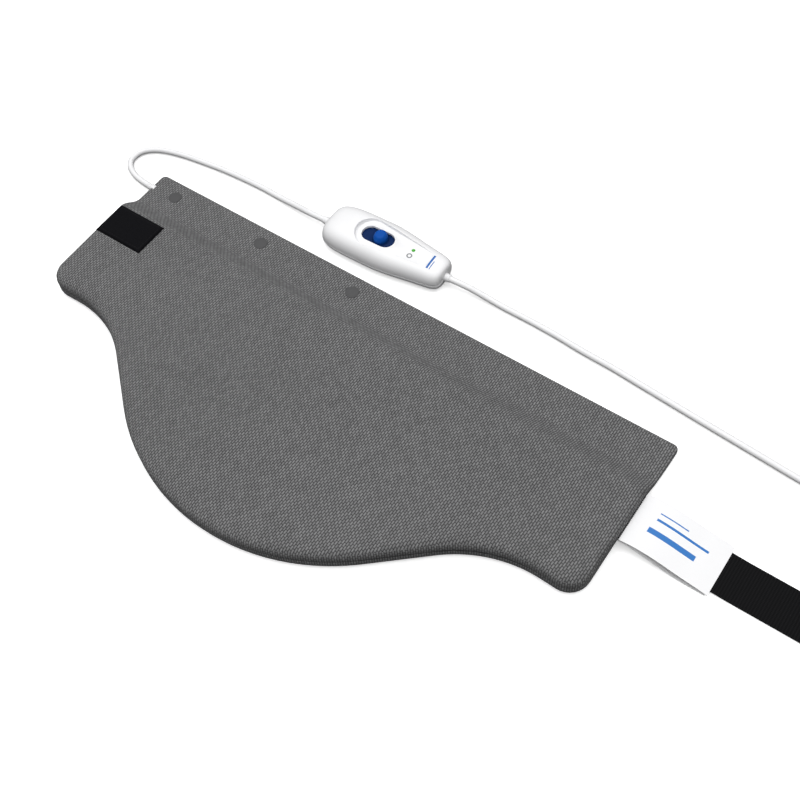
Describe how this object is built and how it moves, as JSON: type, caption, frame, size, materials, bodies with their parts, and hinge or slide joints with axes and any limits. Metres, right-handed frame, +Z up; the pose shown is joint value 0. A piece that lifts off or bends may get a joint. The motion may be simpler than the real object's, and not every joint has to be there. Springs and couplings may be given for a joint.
{
  "type": "electric heating pad",
  "caption": "Electric heating pad for back and belly with press-stud flap, waist strap, inline slide controller and mains lead.",
  "frame": {"origin": "middle of the pad's underside", "axes": "+X along the flap from the lead's end to the strap's end, +Y towards the flap, +Z up out of the padded face"},
  "size_m": [1.1666, 0.3129, 0.046],
  "materials": {
    "cloth_grey": "ribbed weave, matt",
    "cap_grey": "satin moulded",
    "nickel": "nickel plated",
    "foil_clear": "thin clear film",
    "wadding": "soft fleece",
    "felt": "needled felt",
    "wire_silicone": "silicone sheath",
    "ceramic": "matt",
    "nylon_white": "satin",
    "cord_white": "satin sheath",
    "patch_black": "hook and loop pile",
    "thread_black": "twisted thread",
    "strap_black": "ribbed elastic",
    "label_white": "woven satin tape",
    "shell_white": "satin moulded",
    "slider_blue": "satin moulded",
    "nylon_dark": "moulded",
    "board_green": "solder resist",
    "lamp_green": "clear tinted",
    "aluminium": "brushed",
    "capacitor_box": "moulded",
    "terminal_green": "moulded",
    "steel": "zinc plated",
    "tie_dark": "moulded",
    "plug_white": "satin moulded"
  },
  "bodies": {
    "pad": {"cover_top": "cloth_grey", "cover_bottom": "cloth_grey", "cover_seam": "cloth_grey", "snap_caps": "cap_grey", "snap_sockets": "nickel", "snap_studs": "nickel", "snap_back_caps": "nickel", "inner_bag_top": "foil_clear", "inner_bag_bottom": "foil_clear", "wadding_upper": "wadding", "wadding_lower": "wadding", "carrier_felt": "felt", "heating_wire": "wire_silicone", "thermostats": "nickel", "thermal_fuse": "ceramic", "splice_block": "nylon_white", "inner_lead": "cord_white", "lead_grommet": "cord_white", "closing_patch": "patch_black", "patch_stitching": "thread_black", "strap_anchor": "thread_black", "upper_shell": "shell_white", "lower_shell": "shell_white", "switch_body": "nylon_dark", "circuit_board": "board_green", "indicator_led": "lamp_green", "triac": "nylon_dark", "heat_sink": "aluminium", "capacitor": "capacitor_box", "fuse_link": "ceramic", "resistors": "ceramic", "terminal_blocks": "terminal_green", "shell_screws": "steel", "lead_bushing": "cord_white", "mains_bushing": "cord_white", "pad_lead": "cord_white", "mains_cord": "cord_white", "cord_coil": "cord_white", "plug_tail": "cord_white", "cord_tie": "tie_dark", "plug_strain_relief": "cord_white", "plug_body": "plug_white", "plug_pins": "nickel", "pin_sleeves": "tie_dark"},
    "strap": {"strap_band": "strap_black", "strap_closing_tab": "patch_black", "strap_stitching": "thread_black", "label_upper_leaf": "label_white", "label_lower_leaf": "label_white"},
    "slider": {"slider_button": "slider_blue", "switch_lever": "nylon_dark"}
  },
  "joints": [
    {"name": "strap_seam", "type": "hinge", "parent": "pad", "child": "strap", "pos_m": [0.2626, 0.0545, 0.0096], "axis": [0, -1, 0], "range_deg": [0, 90]},
    {"name": "heat_slide", "type": "slide", "parent": "pad", "child": "slider", "axis": [0.9994, 0.0349, 0], "range_m": [-0.01, 0.005]}
  ]
}
